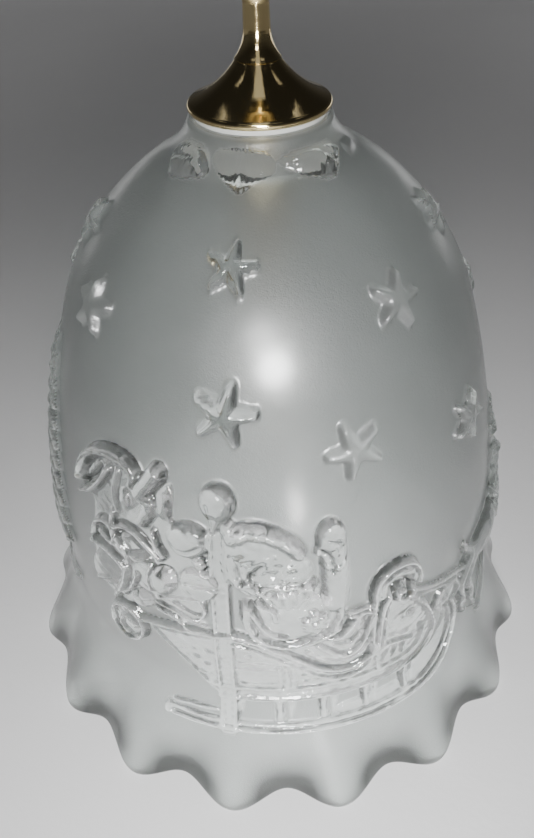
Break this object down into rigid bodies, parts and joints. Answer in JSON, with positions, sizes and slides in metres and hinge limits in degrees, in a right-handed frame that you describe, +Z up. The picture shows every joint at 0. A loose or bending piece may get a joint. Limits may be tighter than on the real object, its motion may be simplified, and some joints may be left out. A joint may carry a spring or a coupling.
{
  "type": "hand bell",
  "caption": "Pressed glass hand bell with a fluted scalloped rim, turned brass handle clamped through the crown, and a ball clapper hung on a link chain.",
  "frame": {"origin": "on the bell's axis, in the plane that the rim's crests stand on", "axes": "+Z up along the bell's axis and the handle; the front of the bell, with the rider and sleigh relief, faces -Y; +X to the right seen from the front"},
  "size_m": [0.0848, 0.0848, 0.1564],
  "materials": {
    "frosted_glass": "acid-frosted pressed glass with polished raised relief",
    "clear_glass": "polished clear glass",
    "gilt_brass": "polished gold-plated brass",
    "plain_brass": "bright drawn and turned brass",
    "clear_vinyl": "soft clear vinyl, slightly milky"
  },
  "bodies": {
    "bell": {"glass_bell": "frosted_glass", "outer_gasket": "clear_vinyl", "handle_ferrule": "gilt_brass", "handle_stem": "gilt_brass", "handle_grip": "gilt_brass", "handle_finial": "gilt_brass", "inner_gasket": "clear_vinyl", "inner_washer": "plain_brass", "clamp_nut": "plain_brass", "hanger_eye": "plain_brass"},
    "link_1": {"chain_link_1": "plain_brass"},
    "link_2": {"chain_link_2": "plain_brass"},
    "link_3": {"chain_link_3": "plain_brass"},
    "link_4": {"chain_link_4": "plain_brass"},
    "link_5": {"chain_link_5": "plain_brass"},
    "clapper": {"clapper_pin": "plain_brass", "clapper_ball": "clear_glass"}
  },
  "joints": [
    {"name": "link_1_swing", "type": "hinge", "parent": "bell", "child": "link_1", "pos_m": [0, 0, 0.068], "axis": [1, 0, 0], "range_deg": [-26, 26]},
    {"name": "link_2_swing", "type": "hinge", "parent": "link_1", "child": "link_2", "pos_m": [0, 0, 0.0606], "axis": [0, 1, 0], "range_deg": [-31, 31]},
    {"name": "link_3_swing", "type": "hinge", "parent": "link_2", "child": "link_3", "pos_m": [0, 0, 0.0531], "axis": [-1, 0, 0], "range_deg": [-38, 38]},
    {"name": "link_4_swing", "type": "hinge", "parent": "link_3", "child": "link_4", "pos_m": [0, 0, 0.0456], "axis": [0, -1, 0], "range_deg": [-48, 48]},
    {"name": "link_5_swing", "type": "hinge", "parent": "link_4", "child": "link_5", "pos_m": [0, 0, 0.0381], "axis": [1, 0, 0], "range_deg": [-60, 60]},
    {"name": "clapper_swing", "type": "hinge", "parent": "link_5", "child": "clapper", "pos_m": [0, 0, 0.0306], "axis": [0, 1, 0], "range_deg": [-60, 60]}
  ]
}
